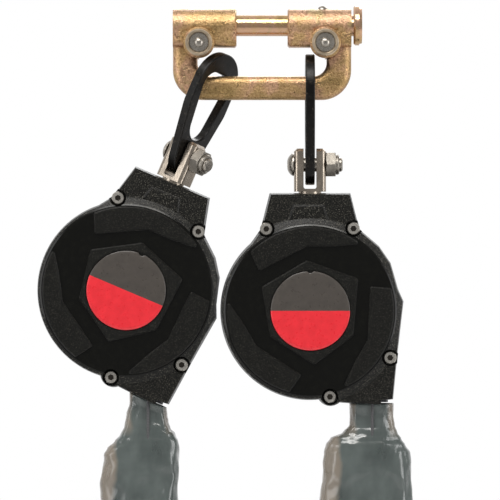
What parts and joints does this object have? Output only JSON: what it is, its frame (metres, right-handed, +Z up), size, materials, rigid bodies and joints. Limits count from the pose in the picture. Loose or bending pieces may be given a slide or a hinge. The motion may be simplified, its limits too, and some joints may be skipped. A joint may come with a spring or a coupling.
{
  "type": "self retracting lifeline",
  "caption": "Twin-leg self retracting lifeline: harness connector with a lock pin, two swivelling spring-rewound webbing housings, absorber packs and scaffold hooks.",
  "frame": {"origin": "middle of the lock pin, where harness straps carry the assembly", "axes": "+X along the lock pin towards its head, +Z up, the housings' labelled fronts face -Y"},
  "size_m": [0.2378, 0.0392, 0.5639],
  "materials": {
    "zinc": "yellow dichromate zinc plate on a forging, grainy",
    "gold_pin": "smooth yellow dichromate zinc plate",
    "button_steel": "greyish plated steel",
    "bright_steel": "bright nickel plate",
    "nickel_steel": "satin nickel plate with fine brush marks",
    "black_steel": "black paint on a steel plate, worn at the edges",
    "inner_steel": "pressed steel",
    "spring_steel": "blued spring strip",
    "housing": "black moulded plastic, textured panels and glossy channels",
    "drum": "dark grey moulded plastic",
    "guide": "smooth black plastic",
    "webbing": "woven polyester and aramid webbing",
    "absorber": "folded tear webbing",
    "sleeve": "clear grey heat shrunk film",
    "hook": "yellow dichromate zinc plate on a forging",
    "gate": "satin zinc plate"
  },
  "bodies": {
    "connector": {"connector_frame": "zinc", "pin_stop_screw": "bright_steel", "left_button_bush": "button_steel", "right_button_bush": "button_steel", "left_button_spring": "spring_steel", "right_button_spring": "spring_steel"},
    "pin": {"lock_pin": "gold_pin"},
    "left_button": {"left_lock_button": "button_steel"},
    "right_button": {"right_lock_button": "button_steel"},
    "right_link": {"right_anchor_link": "black_steel"},
    "right_clevis": {"right_swivel_clevis": "nickel_steel", "right_clevis_bolt": "bright_steel", "right_clevis_nut": "bright_steel", "right_swivel_nut": "inner_steel"},
    "right_housing": {"right_load_frame": "inner_steel", "right_axle": "inner_steel", "right_ratchet_ring": "inner_steel", "right_power_spring": "spring_steel", "right_front_cover": "housing", "right_rear_cover": "housing", "right_cover_screws": "bright_steel", "right_webbing_guide": "guide", "right_webbing_run": "webbing"},
    "right_spool": {"right_drum": "drum", "right_wound_webbing": "webbing"},
    "right_pawl_one": {"right_pawl_a": "inner_steel"},
    "right_pawl_two": {"right_pawl_b": "inner_steel"},
    "right_line": {"right_webbing_tail": "webbing", "right_absorber_pack": "absorber", "right_absorber_sleeve": "sleeve", "right_hook_body": "hook", "right_hook_rivets": "bright_steel"},
    "right_gate": {"right_hook_gate": "gate"},
    "right_lock_lever": {"right_hook_lock": "gate"},
    "left_link": {"left_anchor_link": "black_steel"},
    "left_clevis": {"left_swivel_clevis": "nickel_steel", "left_clevis_bolt": "bright_steel", "left_clevis_nut": "bright_steel", "left_swivel_nut": "inner_steel"},
    "left_housing": {"left_load_frame": "inner_steel", "left_axle": "inner_steel", "left_ratchet_ring": "inner_steel", "left_power_spring": "spring_steel", "left_front_cover": "housing", "left_rear_cover": "housing", "left_cover_screws": "bright_steel", "left_webbing_guide": "guide", "left_webbing_run": "webbing"},
    "left_spool": {"left_drum": "drum", "left_wound_webbing": "webbing"},
    "left_pawl_one": {"left_pawl_a": "inner_steel"},
    "left_pawl_two": {"left_pawl_b": "inner_steel"},
    "left_line": {"left_webbing_tail": "webbing", "left_absorber_pack": "absorber", "left_absorber_sleeve": "sleeve", "left_hook_body": "hook", "left_hook_rivets": "bright_steel"},
    "left_gate": {"left_hook_gate": "gate"},
    "left_lock_lever": {"left_hook_lock": "gate"}
  },
  "joints": [
    {"name": "pin_slide", "type": "slide", "parent": "connector", "child": "pin", "axis": [1, 0, 0], "range_m": [0, 0.0582]},
    {"name": "left_button_press", "type": "slide", "parent": "connector", "child": "left_button", "axis": [0, 1, 0], "range_m": [0, 0.0025], "stiffness_N_per_m": 800, "springref_m": -0.002},
    {"name": "right_button_press", "type": "slide", "parent": "connector", "child": "right_button", "axis": [0, 1, 0], "range_m": [0, 0.0025], "stiffness_N_per_m": 800, "springref_m": -0.002},
    {"name": "right_link_swing", "type": "hinge", "parent": "connector", "child": "right_link", "pos_m": [0.0266, 0, -0.0348], "axis": [1, 0, 0], "range_deg": [-60, 60]},
    {"name": "right_clevis_pivot", "type": "hinge", "parent": "right_link", "child": "right_clevis", "pos_m": [0.0266, 0, -0.07725], "axis": [1, 0, 0], "range_deg": [-60, 60]},
    {"name": "right_housing_swivel", "type": "hinge", "parent": "right_clevis", "child": "right_housing", "pos_m": [0.0266, 0, -0.15825], "axis": [0, 0, 1], "range_deg": [-90, 90]},
    {"name": "right_payout", "type": "slide", "parent": "right_housing", "child": "right_line", "axis": [0, 0, -1], "range_m": [0, 1.8247], "stiffness_N_per_m": 5, "springref_m": -3, "deforming": ["right_webbing_tail"]},
    {"name": "right_drum_spin", "type": "hinge", "parent": "right_housing", "child": "right_spool", "pos_m": [0.0266, 0, -0.15825], "axis": [0, 1, 0], "range_deg": [0, 4320.2]},
    {"name": "right_pawl_one_swing", "type": "hinge", "parent": "right_spool", "child": "right_pawl_one", "pos_m": [0.0266, 0, -0.13985], "axis": [0, -1, 0], "range_deg": [0, 14], "stiffness_Nm_per_rad": 0.02, "springref_deg": -17.19},
    {"name": "right_pawl_two_swing", "type": "hinge", "parent": "right_spool", "child": "right_pawl_two", "pos_m": [0.0266, 0, -0.17665], "axis": [0, -1, 0], "range_deg": [0, 14], "stiffness_Nm_per_rad": 0.02, "springref_deg": -17.19},
    {"name": "right_gate_swing", "type": "hinge", "parent": "right_line", "child": "right_gate", "pos_m": [0.0395, 0, -0.41985], "axis": [0, -1, 0], "range_deg": [0, 35], "stiffness_Nm_per_rad": 0.1, "springref_deg": -34.38},
    {"name": "right_lock_squeeze", "type": "hinge", "parent": "right_line", "child": "right_lock_lever", "pos_m": [0.0815, 0, -0.40585], "axis": [0, 1, 0], "range_deg": [0, 8]},
    {"name": "left_link_swing", "type": "hinge", "parent": "connector", "child": "left_link", "pos_m": [-0.0274, 0, -0.0348], "axis": [1, 0, 0], "range_deg": [-4, 60]},
    {"name": "left_clevis_pivot", "type": "hinge", "parent": "left_link", "child": "left_clevis", "pos_m": [-0.04338, 0, -0.07244], "axis": [0.7806, -0.5299, -0.3314], "range_deg": [-60, 0]},
    {"name": "left_housing_swivel", "type": "hinge", "parent": "left_clevis", "child": "left_housing", "pos_m": [-0.07503, 0, -0.147], "axis": [0.3907, 0, 0.9205], "range_deg": [-90, 90]},
    {"name": "left_payout", "type": "slide", "parent": "left_housing", "child": "left_line", "axis": [0, 0, -1], "range_m": [0, 1.8247], "stiffness_N_per_m": 5, "springref_m": -3, "deforming": ["left_webbing_tail"]},
    {"name": "left_drum_spin", "type": "hinge", "parent": "left_housing", "child": "left_spool", "pos_m": [-0.07503, 0, -0.147], "axis": [0, 1, 0], "range_deg": [0, 4320.2]},
    {"name": "left_pawl_one_swing", "type": "hinge", "parent": "left_spool", "child": "left_pawl_one", "pos_m": [-0.06784, 0, -0.13006], "axis": [0, -1, 0], "range_deg": [0, 14], "stiffness_Nm_per_rad": 0.02, "springref_deg": -17.19},
    {"name": "left_pawl_two_swing", "type": "hinge", "parent": "left_spool", "child": "left_pawl_two", "pos_m": [-0.08221, 0, -0.16394], "axis": [0, -1, 0], "range_deg": [0, 14], "stiffness_Nm_per_rad": 0.02, "springref_deg": -17.19},
    {"name": "left_gate_swing", "type": "hinge", "parent": "left_line", "child": "left_gate", "pos_m": [-0.08463, 0, -0.41802], "axis": [0, -1, 0], "range_deg": [0, 35], "stiffness_Nm_per_rad": 0.1, "springref_deg": -34.38},
    {"name": "left_lock_squeeze", "type": "hinge", "parent": "left_line", "child": "left_lock_lever", "pos_m": [-0.04263, 0, -0.40402], "axis": [0, 1, 0], "range_deg": [0, 8]}
  ],
  "couplings": [
    {"joint": "right_drum_spin", "follows": "right_payout", "rad_per_m": 41.322},
    {"joint": "right_lock_squeeze", "follows": "right_gate_swing", "ratio": 0.22857},
    {"joint": "left_drum_spin", "follows": "left_payout", "rad_per_m": 41.322},
    {"joint": "left_lock_squeeze", "follows": "left_gate_swing", "ratio": 0.22857}
  ]
}
